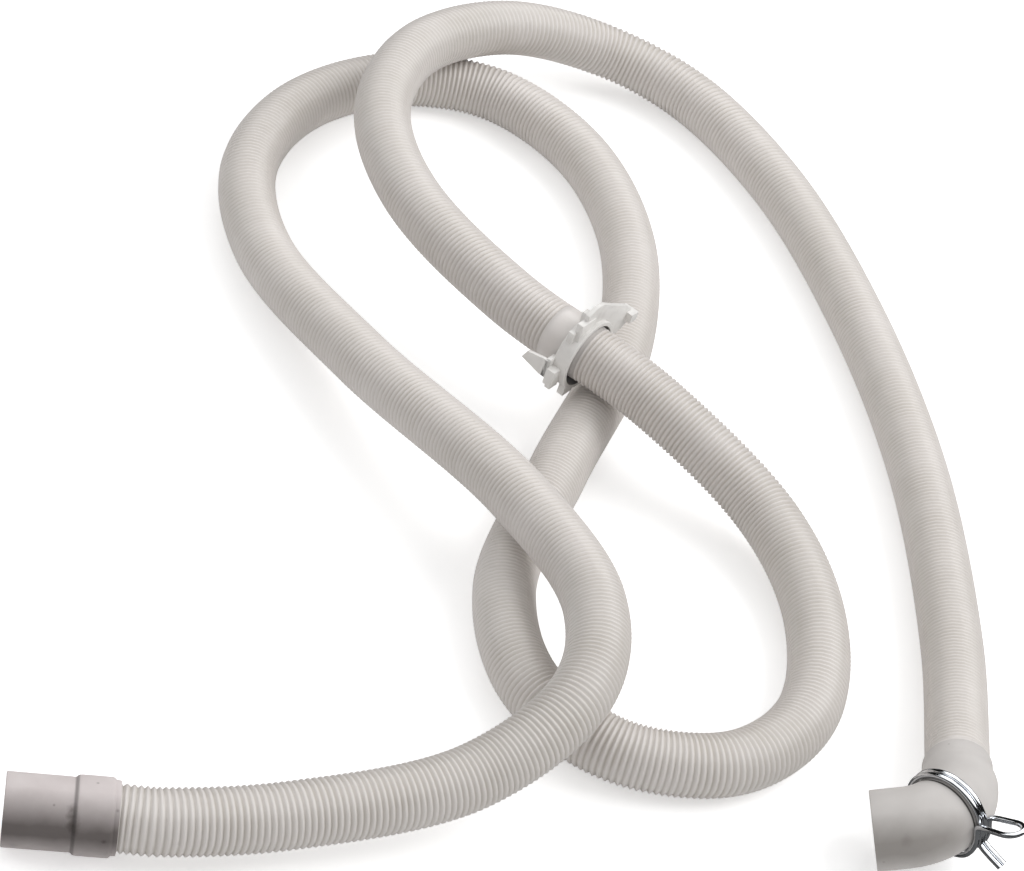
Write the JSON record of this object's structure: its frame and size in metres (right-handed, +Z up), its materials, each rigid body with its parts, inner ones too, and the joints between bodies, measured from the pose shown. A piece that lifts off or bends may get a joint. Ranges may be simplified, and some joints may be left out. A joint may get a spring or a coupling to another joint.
{
  "type": "washing machine drain hose",
  "caption": "Corrugated plastic washing machine drain hose lying in loose loops, with a plain rubber end cuff, a rubber elbow under a wire spring clamp, and a clip-in panel collar.",
  "frame": {"origin": "on the floor, under the middle of the box round the loops", "axes": "+Z up from the floor, +Y along the long way of the loops, away from both ends of the hose, +X from the cuff's side to the elbow's side"},
  "size_m": [0.3861, 0.6315, 0.0673],
  "materials": {
    "hose_plastic": "semi-gloss warm grey-white polypropylene",
    "cuff_rubber": "matt mauve-grey rubber with handling smudges",
    "elbow_rubber": "matt grey rubber with soft smudges",
    "collar_plastic": "semi-gloss white moulded plastic",
    "clamp_wire": "bright plated spring wire"
  },
  "bodies": {
    "root": {"corrugated_hose": "hose_plastic", "end_cuff": "cuff_rubber", "elbow": "elbow_rubber", "spring_clamp": "clamp_wire", "panel_collar": "collar_plastic"}
  },
  "joints": []
}
